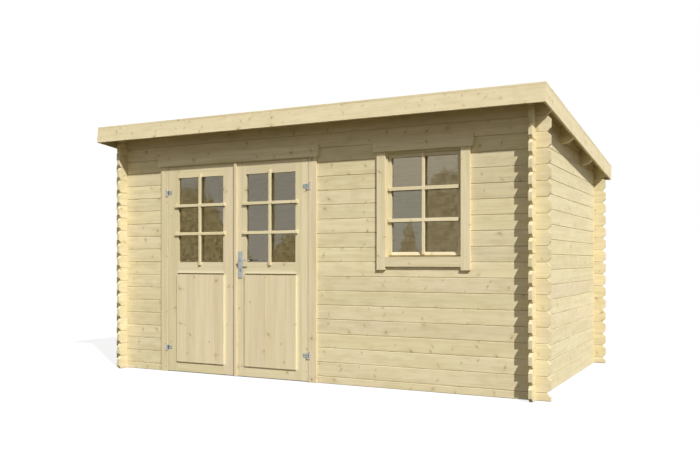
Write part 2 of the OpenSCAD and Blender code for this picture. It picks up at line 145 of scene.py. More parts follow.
def vector(tree, x, y, z):
    """Combines three numbers into a vector."""
    return node(tree, "CombineXYZ", {0: x, 1: y, 2: z}).outputs[0]


def parts(tree, value):
    """The x, y and z of a vector."""
    return node(tree, "SeparateXYZ", {0: value}).outputs


def place(tree):
    """Where a point of the surface lies, in metres, before any joint moves it."""
    return node(tree, "TexCoord").outputs["Object"]


def ramp(tree, value, start, end, low=0.0, high=1.0, smooth=True):
    """Maps a number from start..end to low..high and holds it outside."""
    made = node(tree, "MapRange", {0: value, 1: start, 2: end, 3: low, 4: high},
                interpolation_type="SMOOTHSTEP" if smooth else "LINEAR")
    return made.outputs[0]


def mix_colour(tree, factor, first, second, mode="MIX"):
    """Mixes two colours."""
    made = node(tree, "Mix", {0: factor, 6: first, 7: second}, data_type="RGBA", blend_type=mode)
    return made.outputs[2]


def noise(tree, where, scale, detail=2.0, rough=0.5):
    """A noise value, 0 to 1."""
    made = node(tree, "TexNoise", {"Vector": where, "Scale": scale, "Detail": detail, "Roughness": rough})
    return made.outputs[0]


def blend_vectors(tree, factor, first, second):
    """Mixes two vectors."""
    return node(tree, "Mix", {0: factor, 4: first, 5: second}, data_type="VECTOR").outputs[1]


def new_material(name):
    """A material with only a Principled shader and its output."""
    material = bpy.data.materials.new(name)
    material.use_nodes = True
    return material, material.node_tree, material.node_tree.nodes["Principled BSDF"]


# ---- Wood ----

# For each way a board can lie: which of x, y, z runs along it, across it and into it
LAY = {
    "x": (0, 2, 1),        # along the front, logs and rails
    "y": (1, 2, 0),        # along the side walls
    "z": (2, 0, 1),        # upright in the front or back
    "x_flat": (0, 1, 2),   # along the front, lying on the roof
    "y_flat": (1, 0, 2),   # down the roof
    "y_edge": (1, 2, 0),   # down the roof, on edge
}


def wood_group():
    """A node group that paints sawn spruce from board coordinates: u along, v across, w into
    the board, in metres, and three random numbers for the board."""
    t = bpy.data.node_groups.new("spruce", "ShaderNodeTree")
    for way, kind, names in (("INPUT", "Vector", "Board Random"), ("INPUT", "Float", "Knots Figure Clouds"),
                             ("OUTPUT", "Color", "Color"), ("OUTPUT", "Float", "Roughness Height")):
        for name in names.split():
            t.interface.new_socket(name, in_out=way, socket_type="NodeSocket" + kind)
    board, random, amount, figure, clouds = t.nodes.new("NodeGroupInput").outputs[:5]
    end = t.nodes.new("NodeGroupOutput")
    u, v, w = parts(t, board)
    ra, rb, rc = parts(t, random)

    knot, halo, warm = knots(t, u, v, ra, rb, amount)
    rings = year_rings(t, u, v, w, ra, rb, rc, halo)
    fibre = stretched(t, u, v, w, 7.0, 330.0, 3.0)
    streak = stretched(t, u, v, w, 3.2, 75.0, 3.0)
    band = stretched(t, u, v, w, 1.15, 24.0, 2.5)
    cloud = stretched(t, u, v, w, 3.0, 9.0, 3.0)
    patch = stretched(t, u, v, w, 7.0, 19.0, 3.0)

    pale = (0.885, 0.778, 0.507, 1)
    rose = (0.870, 0.735, 0.493, 1)
    straw = (0.845, 0.744, 0.438, 1)
    late = (0.660, 0.546, 0.306, 1)
    early = (0.92, 0.820, 0.553, 1)
    tone = pale
    for mask, colour in ((ramp(t, ra, 0.15, 0.95, 0.0, 0.85), rose),
                         (ramp(t, rb, 0.35, 1.0, 0.0, 0.75), straw),
                         (ramp(t, cloud, 0.42, 0.68, 0.0, 0.60), straw),
                         (times(t, ramp(t, patch, 0.42, 0.70, 0.0, 0.55), clouds), late),
                         (times(t, ramp(t, band, 0.40, 0.66, 0.0, 0.46), figure), late),
                         (times(t, ramp(t, streak, 0.46, 0.72, 0.0, 0.42), figure), late),
                         (times(t, ramp(t, streak, 0.46, 0.26, 0.0, 0.50), figure), early),
                         (times(t, times(t, rings, 0.40), figure), late)):
        tone = mix_colour(t, mask, tone, colour)
    shade = plus(t, ramp(t, fibre, 0.25, 0.75, 0.965, 1.035, smooth=False),
                 ramp(t, rc, 0.0, 1.0, -0.05, 0.04, smooth=False))
    grey = node(t, "CombineColor", {0: shade, 1: shade, 2: shade}).outputs[0]
    tone = mix_colour(t, 1.0, tone, grey, "MULTIPLY")
    tone = mix_colour(t, times(t, halo, 0.50), tone, (0.545, 0.435, 0.205, 1))
    brown = mix_colour(t, warm, (0.300, 0.235, 0.105, 1), (0.400, 0.225, 0.120, 1))
    tone = mix_colour(t, times(t, knot, 0.85), tone, brown)
    rough = minus(t, ramp(t, fibre, 0.2, 0.8, 0.56, 0.70, smooth=False), times(t, knot, 0.16))
    height = plus(t, times(t, rings, 0.5), times(t, fibre, 0.5))
    feed(t, end, {"Color": tone, "Roughness": rough, "Height": plus(t, height, times(t, knot, 0.6))})
    return t


def stretched(t, u, v, w, along, across, detail):
    """Noise drawn out along the board."""
    where = vector(t, times(t, u, along), times(t, v, across), times(t, w, across))
    return noise(t, where, 1.0, detail)


def knots(t, u, v, ra, rb, amount):
    """Masks of the knots and of the darker wood round them, and a colour number for each knot.
    Each cell of a coarse pattern may hold one knot of its own size, width and slant."""
    cell_u, cell_v = 0.17, 0.075
    pu = calc(t, "DIVIDE", scaled(t, ra, 37.0, u), cell_u)
    pv = calc(t, "DIVIDE", scaled(t, rb, 23.0, v), cell_v)
    cells = node(t, "TexVoronoi", {"Vector": vector(t, pu, pv, 0.0), "Scale": 1.0, "Randomness": 0.9},
                 voronoi_dimensions="2D")
    centre = parts(t, cells.outputs["Position"])
    du = times(t, minus(t, pu, centre[0]), cell_u)
    dv = times(t, minus(t, pv, centre[1]), cell_v)
    dice = node(t, "SeparateColor", {0: cells.outputs["Color"]}).outputs
    present = calc(t, "LESS_THAN", dice[0], amount)
    size = scaled(t, calc(t, "POWER", dice[1], 2.0), 0.0065, 0.0040)
    narrow = ramp(t, dice_again(t, dice[1], 5.0), 0.35, 0.80, 1.0, 2.3)
    lean = scaled(t, dice[2], 1.4, -0.7)
    du = times(t, scaled(t, dv, lean, du), narrow)
    ragged = noise(t, vector(t, times(t, u, 160.0), times(t, v, 160.0), 0.0), 1.0)
    reach = diagonal(t, du, dv)
    reach = times(t, reach, ramp(t, ragged, 0.2, 0.8, 0.70, 1.35, smooth=False))
    ratio = calc(t, "DIVIDE", reach, size)
    warm = dice_again(t, dice[2], 7.0)
    faint = ramp(t, dice_again(t, dice[1], 11.0), 0.0, 0.6, 0.40, 1.0)
    knot = times(t, times(t, ramp(t, ratio, 1.2, 0.5), present), faint)
    halo = times(t, calc(t, "EXPONENT", times(t, calc(t, "POWER", ratio, 2.0), -0.13)), present)
    return knot, halo, warm


def year_rings(t, u, v, w, ra, rb, rc, halo):
    """Latewood lines where the board cuts the tree's rings, which bend round the knots."""
    bend = noise(t, vector(t, scaled(t, ra, 19.0, times(t, u, 0.75)),
                           times(t, v, 5.0), times(t, w, 5.0)), 1.0)
    ripple = stretched(t, u, v, w, 5.0, 40.0, 2.0)
    pith_v = scaled(t, rb, 0.10, -0.05)
    pith_w = scaled(t, rc, 0.07, 0.012)
    side = minus(t, v, pith_v)
    deep = plus(t, w, pith_w)
    radius = diagonal(t, side, deep)
    radius = scaled(t, bend, 0.030, radius)
    radius = scaled(t, ripple, 0.0035, radius)
    radius = scaled(t, halo, 0.007, radius)
    turn = calc(t, "FRACT", calc(t, "DIVIDE", radius, 0.0044))
    return times(t, calc(t, "POWER", turn, 2.5), ramp(t, turn, 1.0, 0.93))


SPRUCE = wood_group()


def board_coordinates(t, lay, pitch, origin, seed, sloped, middle_w):
    """Gives board coordinates and three random numbers for each board of a node."""
    where = place(t)
    if sloped:
        where = node(t, "VectorRotate", {"Vector": where, "Center": tuple(ROOF_ORIGIN), "Angle": PITCH},
                     rotation_type="X_AXIS").outputs[0]
    xyz = parts(t, where)
    along, across, into = (xyz[i] for i in LAY[lay])
    row = calc(t, "FLOOR", calc(t, "DIVIDE", minus(t, across, origin), pitch))
    dice = node(t, "TexWhiteNoise", {"Vector": vector(t, row, seed, 0.5)}, noise_dimensions="3D")
    random = node(t, "SeparateColor", {0: dice.outputs["Color"]})
    middle = scaled(t, plus(t, row, 0.5), pitch, origin)
    v = minus(t, across, middle)
    shift = times(t, dice.outputs["Value"], 41.0)
    board = vector(t, plus(t, along, shift), v, minus(t, into, middle_w))
    return board, vector(t, *random.outputs[:3]), v, across, along


def wood(name, lay, seed, pitch=5.0, origin=-2.5, sloped=False, seam=0.0, knots=0.38,
         upright=None, middle=0.0, light=0.0, figure=1.0, clouds=0.0, shade=None, ends=0.0,
         field=None, depth=0.5, glow=None):
    """A spruce material; the seed picks its pattern. Boards lie side by side at the pitch from
    the origin; a seam darkens their edges over that width by that depth, within the
    field=(middle, half) if given: painted shade in the joints between the boards. With
    upright=(middle, half), what lies further than half from the middle along x is drawn as a
    stile instead, and a third number ends the stiles at that distance from the middle along y.
    middle is the boards' middle plane, light bleaches the wood (on the inner glazing bars it is
    painted light), shade is a colour that deepens it, figure is the strength of its grain, clouds
    that of its darker patches, and ends that of the tone of its cut ends. glow=(x, x, z, z) is a
    proud panel; the light it would throw is painted on what lies over it and to its right."""
    material, t, shader = new_material(name)
    board, random, v, across, along = board_coordinates(t, lay, pitch, origin, seed, sloped, middle)
    if upright:
        other = "y_flat" if sloped else "z"
        board2, random2, *_ = board_coordinates(t, other, 0.5, 0.013, seed + 7.3, sloped, middle)
        xyz = parts(t, place(t))
        is_stile = calc(t, "GREATER_THAN", far_from(t, xyz[0], upright[0]), upright[1])
        if len(upright) > 2:
            span = calc(t, "LESS_THAN", calc(t, "ABSOLUTE", xyz[1]), upright[2])
            is_stile = times(t, is_stile, span)
        board = blend_vectors(t, is_stile, board, board2)
        random = blend_vectors(t, is_stile, random, random2)
    paint = node(t, "Group", {"Board": board, "Random": random, "Knots": knots, "Figure": figure,
                              "Clouds": clouds}, node_tree=SPRUCE).outputs
    colour = paint["Color"]
    if light:
        colour = mix_colour(t, light, colour, (0.98, 0.90, 0.66, 1))
    if shade:
        colour = mix_colour(t, 1.0, colour, (*shade, 1), "MULTIPLY")
    # Painted light: the wood beside a proud panel is lightened as if by light bounced off the panel
    if glow:
        colour = mix_colour(t, painted_panel_light(t, *glow), colour, (1.0, 0.90, 0.60, 1))
    if ends:
        facing = parts(t, node(t, "TexCoord").outputs["Normal"])[LAY[lay][0]]
        cut = times(t, ramp(t, calc(t, "ABSOLUTE", facing), 0.70, 0.90), ends)
        colour = mix_colour(t, cut, colour, (0.86, 0.84, 0.78, 1), "MULTIPLY")
    # Painted shade: the board edges darken towards each joint, where shade falls in the grooves
    if seam:
        edge = minus(t, pitch / 2, calc(t, "ABSOLUTE", v))
        uneven = noise(t, vector(t, times(t, along, 2.3), times(t, across, 9.0), seed), 1.0, 3.0)
        dark = times(t, ramp(t, edge, seam, 0.0, 0.0, depth), ramp(t, uneven, 0.35, 0.65, 0.45, 1.7))
        if field:
            dark = times(t, dark, calc(t, "LESS_THAN", far_from(t, across, field[0]), field[1]))
        colour = mix_colour(t, dark, colour, (0.20, 0.145, 0.065, 1))
    bump = node(t, "Bump", {"Strength": 0.25, "Distance": 0.0006, "Height": paint["Height"]})
    feed(t, shader, {"Base Color": colour, "Roughness": paint["Roughness"],
                     "Normal": bump.outputs[0], "Specular IOR Level": 0.20})
    return material


def painted_panel_light(t, x0, x1, z0, z1):
    """A painted light beside a proud panel: it fades out a little way above the panel and to the right of it.
    """
    x, _, z = parts(t, place(t))
    reach, fade = 0.040, 0.02
    beside_x = times(t, ramp(t, x, x0 - fade, x0 + fade), ramp(t, x, x1 + fade, x1 - fade))
    beside_z = times(t, ramp(t, z, z0 - fade, z0 + fade), ramp(t, z, z1 + fade, z1 - fade))
    above = times(t, ramp(t, z, z1 + reach, z1 + 0.012, smooth=False), calc(t, "GREATER_THAN", z, z1))
    right = times(t, ramp(t, x, x1 + reach, x1, smooth=False), calc(t, "GREATER_THAN", x, x1))
    above = times(t, above, beside_x)
    right = times(t, right, beside_z)
    return times(t, calc(t, "MAXIMUM", above, right), 0.90)


# ---- Metal and glass ----


def metal(name, colour, rough, grain):
    """Plated or satin metal with a fine grain and faint stains."""
    material, t, shader = new_material(name)
    where = place(t)
    brushed = node(t, "Mapping", {"Vector": where, "Scale": grain})
    fine = noise(t, brushed.outputs[0], 1.0, 3.0)
    stain = noise(t, where, 45.0, 3.0)
    dark = tuple(0.72 * c for c in colour[:3]) + (1,)
    tone = mix_colour(t, ramp(t, stain, 0.45, 0.8, 0.0, 0.6), colour, dark)
    tone = mix_colour(t, ramp(t, fine, 0.35, 0.8, 0.0, 0.25), tone, dark)
    uneven = ramp(t, fine, 0.2, 0.8, rough - 0.07, rough + 0.09, smooth=False)
    bump = node(t, "Bump", {"Strength": 0.15, "Distance": 0.0002, "Height": fine})
    feed(t, shader, {"Base Color": tone, "Roughness": uneven, "Normal": bump.outputs[0], "Metallic": 1.0})
    return material


def glass(name, crowns, index, upper, lower, split, leaf, dusk, ragged):
    """Glazing over a dim room. It reflects as a double pane does, more than one thin sheet. What
    it mirrors is tinted by a painted reflection: grey, and olive where the crowns of some painted
    trees are. A crown is (x of its middle, height of its top, how fast it falls, the power of its
    fall), and ragged is how uneven its outline is. The grey goes from its lower to its upper
    colour between the two heights of split. leaf and dusk are the colours of the trees' lit and
    dark places."""
    material, t, shader = new_material(name)
    where = place(t)
    x, _, z = parts(t, where)
    leaves = noise(t, where, 24.0, 6.0, 0.68)
    clumps = noise(t, where, 9.0, 3.0, 0.6)
    sprigs = noise(t, where, 42.0, 4.0, 0.7)
    line = 0.0
    for middle, top, fall, power in crowns:
        drop = calc(t, "POWER", far_from(t, x, middle), power)
        line = calc(t, "MAXIMUM", line, scaled(t, drop, -fall, top))
    for grain, share in ((clumps, 0.30), (leaves, 0.45), (sprigs, 0.25)):
        reach = ragged * share
        line = plus(t, line, ramp(t, grain, 0.38, 0.62, -reach, reach, smooth=False))
    inside = minus(t, line, z)
    tree = ramp(t, inside, -0.003, 0.003)
    gaps = times(t, ramp(t, sprigs, 0.57, 0.61), ramp(t, inside, 0.20, 0.0, 0.04, 0.85))
    tree = times(t, tree, minus(t, 1.0, gaps))
    olive = mix_colour(t, ramp(t, leaves, 0.30, 0.68), leaf, dusk)
    sky = mix_colour(t, ramp(t, z, *split), lower, upper)
    # Painted reflection: the specular tint paints a grey sky and the crowns of trees into what the glass
    # mirrors
    feed(t, shader, {"Base Color": (0.68, 0.66, 0.58, 1), "Transmission Weight": 1.0, "IOR": index,
                     "Specular Tint": mix_colour(t, tree, sky, olive),
                     "Roughness": ramp(t, leaves, 0.5, 0.9, 0.0, 0.03)})
    path = node(t, "LightPath").outputs
    shadow = path["Is Shadow Ray"]
    through = calc(t, "MAXIMUM", shadow, path["Is Diffuse Ray"])
    dimmed = mix_colour(t, shadow, (0.80, 0.75, 0.66, 1), (0.32, 0.30, 0.26, 1))
    clear = node(t, "BsdfTransparent", {"Color": dimmed})
    pick = node(t, "MixShader", {0: through, 1: shader.outputs[0], 2: clear.outputs[0]})
    connect(t, t.nodes["Material Output"].inputs["Surface"], pick.outputs[0])
    return material


# Colours, heights and tree crowns of the painted reflection in the door and window glass
DOOR_LOOK = dict(index=2.25, upper=(0.87, 0.81, 0.65, 1), lower=(0.97, 0.88, 0.73, 1),
                 split=(1.10, 1.75), leaf=(1.0, 0.80, 0.38, 1), dusk=(0.44, 0.32, 0.10, 1),
                 ragged=0.12)
WINDOW_LOOK = dict(index=2.65, upper=(1.0, 0.87, 0.63, 1), lower=(0.77, 0.73, 0.56, 1),
                   split=(1.58, 1.66), leaf=(0.83, 0.67, 0.39, 1), dusk=(0.47, 0.36, 0.17, 1),
                   ragged=0.08)
PANES = {
    "left_leaf_glass": dict(crowns=[(-1.22, 1.70, 2.0, 2)], **DOOR_LOOK),
    "right_leaf_glass": dict(crowns=[(-0.14, 1.29, 9.0, 2), (-0.54, 1.12, 3.0, 1)], **DOOR_LOOK),
    "window_glass": dict(crowns=[(0.960, 1.39, 3.5, 1), (1.31, 1.72, 3000.0, 6)], **WINDOW_LOOK),
}
ZINC = metal("zinc_plate", (0.31, 0.35, 0.34, 1), 0.42, (260.0, 260.0, 60.0))
# The pressed ribs of the straps get a lighter zinc: a painted highlight
RIB_HIGHLIGHT = metal("zinc_rib_highlight", (0.47, 0.53, 0.50, 1), 0.36, (260.0, 260.0, 60.0))
BRIGHT = metal("bright_zinc", (0.62, 0.57, 0.51, 1), 0.42, (60.0, 260.0, 260.0))
NAIL = metal("nail_steel", (0.34, 0.33, 0.30, 1), 0.45, (300.0, 300.0, 300.0))
SATIN = metal("satin_metal", (0.43, 0.46, 0.49, 1), 0.36, (700.0, 700.0, 50.0))
SCREW = metal("screw_steel", (0.22, 0.20, 0.14, 1), 0.40, (300.0, 300.0, 300.0))

# ---- Materials of the CAD nodes ----

# seam and depth set the painted shade in the joints between the logs
ROW = dict(pitch=LOG, seam=0.0040, depth=0.26, ends=0.45, figure=0.65, clouds=0.75)
SIDE_ROW = {**ROW, "knots": 0.30, "clouds": 0.45}
JOINERY = dict(knots=0.25, figure=0.6, shade=(0.930, 0.922, 0.930))
FASCIA = dict(sloped=True, knots=0.75, figure=0.5, clouds=0.6, light=0.08, shade=(0.970, 0.951, 0.960))
TRIM = dict(knots=0.3, figure=0.8)
LINING = dict(knots=0.2)
PANE_LEFT, PANE_RIGHT = (corner.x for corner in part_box("window_glass"))
WINDOW_MID = (PANE_LEFT + PANE_RIGHT) / 2
GLASS_HALF = (PANE_RIGHT - PANE_LEFT) / 2
EDGE_STRIPS = (0.0, DECK_HALF - 0.045, 1.39)     # where battens and laths run down the roof

# For each wall of logs: how it lies, where its first row starts, its seed, shade and look
LOG_WALLS = {
    "front_wall_left_logs": ("x", -LOG / 2, 1, 0.945, ROW),
    "front_wall_lower_logs": ("x", -LOG / 2, 2, 0.985, ROW),
    "front_wall_middle_logs": ("x", -LOG / 2, 3, 0.98, ROW),
    "front_wall_right_logs": ("x", -LOG / 2, 4, 0.915, ROW),
    "front_wall_top_logs": ("x", -LOG / 2, 5, 0.975, ROW),
    "back_wall_logs": ("x", -LOG / 2, 6, 0.93, ROW),
    "left_wall_logs": ("y", 0.0, 7, 0.975, SIDE_ROW),
    "right_wall_logs": ("y", 0.0, 8, 0.98, SIDE_ROW),
}
WOODS = {name: dict(lay=lay, origin=origin, seed=seed, shade=(level,) * 3, **look)
         for name, (lay, origin, seed, level, look) in LOG_WALLS.items()}
WOODS.update({
    "purlins": dict(lay="x_flat", pitch=0.4, origin=-1.4, seed=9, ends=0.45),
    "front_fascia": dict(lay="x", seed=10, **FASCIA),
    "back_fascia": dict(lay="x", seed=11, **FASCIA),
    "left_fascia": dict(lay="y_edge", seed=12, **FASCIA),
    "right_fascia": dict(lay="y_edge", seed=13, **FASCIA),
    "edge_battens": dict(lay="x_flat", pitch=1.0, origin=-2.0, seed=14, sloped=True,
                         shade=(0.90, 0.88, 0.87), upright=EDGE_STRIPS),
    "cover_laths": dict(lay="x_flat", pitch=1.0, origin=-2.0, seed=15, sloped=True,
                        shade=(0.92, 0.90, 0.86), upright=EDGE_STRIPS),
    "door_jambs": dict(lay="z", pitch=0.4, origin=-0.9, seed=16, **LINING),
    "door_head": dict(lay="x", seed=17, **LINING),
    "door_threshold": dict(lay="x", seed=18, **LINING),
    "door_trims": dict(lay="z", pitch=0.4, origin=-0.9, seed=46, shade=(0.97, 0.955, 0.965), **TRIM),
    "door_header": dict(lay="x", seed=20, knots=0.3),
    "left_leaf_stiles": dict(lay="z", pitch=0.3, origin=-1.2, seed=21, **JOINERY),
    "left_leaf_rails": dict(lay="x", pitch=0.5, origin=0.3, seed=22, **JOINERY),
    "right_leaf_stiles": dict(lay="z", pitch=0.3, origin=-0.3, seed=23, **JOINERY),
    "right_leaf_rails": dict(lay="x", pitch=0.5, origin=0.3, seed=24, **JOINERY),
    "right_leaf_astragal": dict(lay="z", seed=25, **JOINERY),
    # The window frame lines the reveal: its shade, deeper than the sash's, is painted shade of the reveal
    "window_frame": dict(lay="x", pitch=0.5, origin=0.95, seed=26, shade=(0.86, 0.86, 0.88),
                         upright=(WINDOW_MID, GLASS_HALF + 0.027), **LINING),
    "window_sash": dict(lay="x", pitch=0.5, origin=0.95, seed=27, shade=(0.945, 0.955, 0.985),
                        upright=(WINDOW_MID, GLASS_HALF), **LINING),
    "window_trims": dict(lay="z", pitch=0.5, origin=0.6, seed=28, shade=(0.950, 0.940, 0.945), **TRIM),
    "window_apron": dict(lay="x", seed=29, shade=(0.960, 0.945, 0.945), **TRIM),
    "window_header": dict(lay="x", seed=30, knots=0.3),
})


def soften(obj, width, segments=2):
    """Rounds an object's edges a little without changing its own vertices."""
    weld = obj.modifiers.new("weld", "WELD")
    weld.merge_threshold = 0.00002       # joins the CAD mesh's double vertices
    bevel = obj.modifiers.new("bevel", "BEVEL")
    bevel.width = width
    bevel.segments = segments
    bevel.limit_method = "ANGLE"
    bevel.angle_limit = math.radians(35)
    normals = obj.modifiers.new("normals", "WEIGHTED_NORMAL")
    normals.keep_sharp = False
    normals.weight = 90


def dress(obj, material, edge=0.0, segments=2):
    """Gives an object one material, and rounds its edges by a radius."""
    obj.data.materials.clear()
    obj.data.materials.append(material)
    if edge:
        soften(obj, edge, segments)


def middle_plane(obj, rule):
    """Middle of an object's boards, in the direction that goes into them."""
    corners = [v.co for v in obj.data.vertices]
    if rule.get("sloped"):
        level = Matrix.Rotation(PITCH, 4, "X")
        turn = Matrix.Translation(ROOF_ORIGIN) @ level @ Matrix.Translation(-ROOF_ORIGIN)
        corners = [turn @ c for c in corners]
    into = [c[LAY[rule["lay"]][2]] for c in corners]
    return (min(into) + max(into)) / 2


# Each door panel's painted light falls on its leaf's stiles and rails
for side in ("left", "right"):
    low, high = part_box(side + "_leaf_panel")
    for part in ("_leaf_rails", "_leaf_stiles"):
        WOODS[side + part]["glow"] = (low.x, high.x, low.z, high.z)
for name, rule in WOODS.items():
    dress(nodes[name], wood(name, middle=middle_plane(nodes[name], rule), **rule), 0.0012)
for name, rule in PANES.items():
    dress(nodes[name], glass(name, **rule))
dress(nodes["hinge_plates"], BRIGHT, 0.0006)
dress(nodes["handle_plates"], SATIN, 0.0015, 3)

# ---- Mesh helpers ----

# Directions of an outline's two axes, and of the way it is extruded
TO_BACK = ((1, 0, 0), (0, 0, 1), (0, 1, 0))      # drawn across and up
UPWARDS = ((1, 0, 0), (0, 1, 0), (0, 0, 1))      # drawn across and into the depth
TO_FRONT = (0, -1, 0)                            # out of the front wall


def add_object(name, data):
    """Adds an object to the scene."""
    obj = bpy.data.objects.new(name, data)
    bpy.context.scene.collection.objects.link(obj)
    return obj


def new_object(name, bm, materials):
    """Makes an object from a bmesh."""
    mesh = bpy.data.meshes.new(name)
    bm.to_mesh(mesh)
    bm.free()
    for material in materials:
        mesh.materials.append(material)
    return add_object(name, mesh)


def finish_piece(name, bm, materials, body, edge=0.0):
    """Makes an object from a bmesh, hands it to its body and rounds its edges by a radius."""
    bmesh.ops.recalc_face_normals(bm, faces=bm.faces)
    obj = new_object(name, bm, materials)
    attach(obj, body)
    if edge:
        soften(obj, edge)
    return obj


def ring_of(bm, centre, radius, first, second, sides):
    """A ring of vertices round a centre."""
    turns = (2 * math.pi * k / sides for k in range(sides))
    return [bm.verts.new(centre + radius * (math.cos(a) * first + math.sin(a) * second)) for a in turns]


def skin(bm, rings, material=0, caps=True):
    """Joins neighbouring rings of vertices with faces, and closes the two ends with caps. A
    ring of one vertex is a point."""
    for one, two in zip(rings, rings[1:]):
        for k in range(max(len(one), len(two))):
            corners = [one[k % len(one)], one[(k + 1) % len(one)], two[(k + 1) % len(two)], two[k % len(two)]]
            bm.faces.new(list(dict.fromkeys(corners))).material_index = material
    for ring in (rings[0], rings[-1]) if caps else ():
        bm.faces.new(ring).material_index = material


def prism(bm, outline, start, end, axes, material=0, offset=(0, 0, 0)):
    """Extrudes an outline of (a, b) points from start to end along c, and moves it by the
    offset. The axes give the directions of a, b and c as three vectors."""
    a, b, c = (Vector(v) for v in axes)
    offset = Vector(offset)
    rings = [[bm.verts.new(a * p + b * q + c * at + offset) for p, q in outline] for at in (start, end)]
    skin(bm, rings, material)


def box_faces(bm, low, high):
    """A box between two corners."""
    outline = [(low[0], low[2]), (high[0], low[2]), (high[0], high[2]), (low[0], high[2])]
    prism(bm, outline, low[1], high[1], TO_BACK)


def arc(a, b, radius, start, end, steps):
    """Points of an arc round (a, b) between two angles in degrees."""
    turns = (math.radians(start + (end - start) * step / steps) for step in range(steps + 1))
    return [(a + radius * math.cos(turn), b + radius * math.sin(turn)) for turn in turns]


def rounded_bar(width, depth):
    """Outline of a bar whose two front edges are rounded: a across, b towards the viewer."""
    half = width / 2
    radius = 0.003
    return [(-half, 0.0), *arc(radius - half, depth - radius, radius, 180, 90, 3),
            *arc(half - radius, depth - radius, radius, 90, 0, 3), (half, 0.0)]


def grooved_board(width, thick, chamfer):
    """Outline of a board with its four edges chamfered: a across, b through its thickness."""
    h = width / 2
    c = chamfer
    return [(-h, c), (-h + c, 0), (h - c, 0), (h, c), (h, thick - c), (h - c, thick),
            (-h + c, thick), (-h, thick - c)]


def corners_of(name, test):
    """The vertices of a CAD node that pass a test."""
    return [v.co for v in nodes[name].data.vertices if test(v.co)]


# ---- Glazing bars ----


def bars(name, body, pane, face_y, out, over, height=0.027, light=0.0):
    """A lattice of one upright and two level bars on one side of a pane's frame. It lies on the
    frame at face_y and stands out along y, to the front if out is -1. Its ends run over the
    frame by that length, and height is that of a level bar."""
    low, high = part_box(pane)
    bm = bmesh.new()
    upright = rounded_bar(width=0.024, depth=0.0165)
    axes = ((1, 0, 0), (0, out, 0), (0, 0, 1))
    prism(bm, upright, low.z - over, high.z + over, axes, 0, ((low.x + high.x) / 2, face_y, 0))
    level = rounded_bar(width=height, depth=0.0180)
    axes = ((0, 0, 1), (0, out, 0), (1, 0, 0))
    for part in (1, 2):
        z = low.z + (high.z - low.z) * part / 3
        prism(bm, level, low.x - over, high.x + over, axes, 1, (0, face_y, z))
    seed = sum(map(ord, name)) % 97
    look = dict(knots=0.15, middle=face_y, light=light, figure=0.7)
    upright_wood = wood(name + "_upright", "z", seed=seed, **look)
    level_wood = wood(name + "_level", "x", pitch=0.2, origin=0.0, seed=seed + 1, **look)
    finish_piece(name, bm, [upright_wood, level_wood], body, 0.0008)


# The inner bars lie in shade behind the glass; their strong light is painted light that brightens them
INNER = dict(out=1, over=0.020, height=0.022, light=0.9)     # bars inside
GAP = 0.0002                         # between a piece and its neighbour
for leaf in ("left_leaf", "right_leaf"):
    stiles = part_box(leaf + "_stiles")
    bars(leaf + "_bars_outside", leaf, leaf + "_glass", stiles[0].y - GAP, out=-1, over=0.027)
    bars(leaf + "_bars_inside", leaf, leaf + "_glass", stiles[1].y + GAP, **INNER)
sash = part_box("window_sash")
bars("window_bars_outside", "root", "window_glass", sash[0].y - GAP, out=-1, over=0.020, height=0.029)
bars("window_bars_inside", "root", "window_glass", sash[1].y + GAP, **INNER)

# ---- Roof boards ----


def roof_box(name):
    """Lowest and highest corners of a node in the roof's own frame."""
    corners = [ROOF.inverted() @ v.co for v in nodes[name].data.vertices]
    return (Vector(min(c[i] for c in corners) for i in range(3)),
            Vector(max(c[i] for c in corners) for i in range(3)))


def roof_boards():
    """The field of boards that run down the roof, side by side."""
    (x0, v0, _), (x1, v1, _) = roof_box("roof_boards")
    width = (x1 - x0) / BOARD_COUNT
    bm = bmesh.new()
    outline = grooved_board(width - 0.0006, DECK_T, 0.0025)
    for i in range(BOARD_COUNT):
        prism(bm, outline, v0, v1, TO_BACK, 0, (x0 + width * (i + 0.5), 0, 0))
    bm.transform(ROOF)
    # seam sets the painted shade in the joints between the roof boards
    material = wood("roof_board_field", "y_flat", pitch=width, origin=x0, seed=31, sloped=True,
                    seam=0.003, middle=FRONT_TOP + DECK_T / 2, shade=(0.86, 0.843, 0.850), clouds=0.4)
    shader = material.node_tree.nodes["Principled BSDF"]
    shader.inputs["Specular IOR Level"].default_value = 0.0
    obj = finish_piece("roof_board_field", bm, [material], "root")
    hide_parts("roof_boards")


roof_boards()

# ---- Door panels ----


def door_panel(leaf, seed):
    """Upright tongue-and-groove boards: the proud face and the core between the stiles."""
    low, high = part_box(leaf + "_panel")
    core = corners_of(leaf + "_panel", lambda c: c.y > high.y - 0.001)
    core_x = sorted(c.x for c in core)
    core_z = sorted(c.z for c in core)
    face_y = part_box(leaf + "_stiles")[0].y
    face_top = max(c.z for c in corners_of(leaf + "_panel", lambda c: c.y < face_y - 0.001))
    count = 5
    width = (high.x - low.x) / count
    chamfer = 0.0012
    bm = bmesh.new()
    outer = grooved_board(width - 2 * GAP, face_y - low.y - 0.0003, chamfer)
    for i in range(count):
        prism(bm, outer, low.z, face_top, UPWARDS, 0, (low.x + width * (i + 0.5), low.y, 0))
        a = max(low.x + width * i + GAP, core_x[0])
        b = min(low.x + width * (i + 1) - GAP, core_x[-1])
        inner = grooved_board(b - a, high.y - face_y + GAP, chamfer)
        prism(bm, inner, core_z[0], core_z[-1], UPWARDS, 0, ((a + b) / 2, face_y - GAP, 0))
    # seam sets the painted shade in the joints between the panel boards
    material = wood(leaf + "_panel_boards", "z", pitch=width, origin=low.x, seed=seed, seam=0.0014,
                    knots=0.17, middle=face_y, figure=0.5, shade=(0.950, 0.934, 0.944),
                    field=((low.x + high.x) / 2, (high.x - low.x) / 2 - 0.004))
    obj = finish_piece(leaf + "_panel_boards", bm, [material], leaf)
    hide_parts(leaf + "_panel")


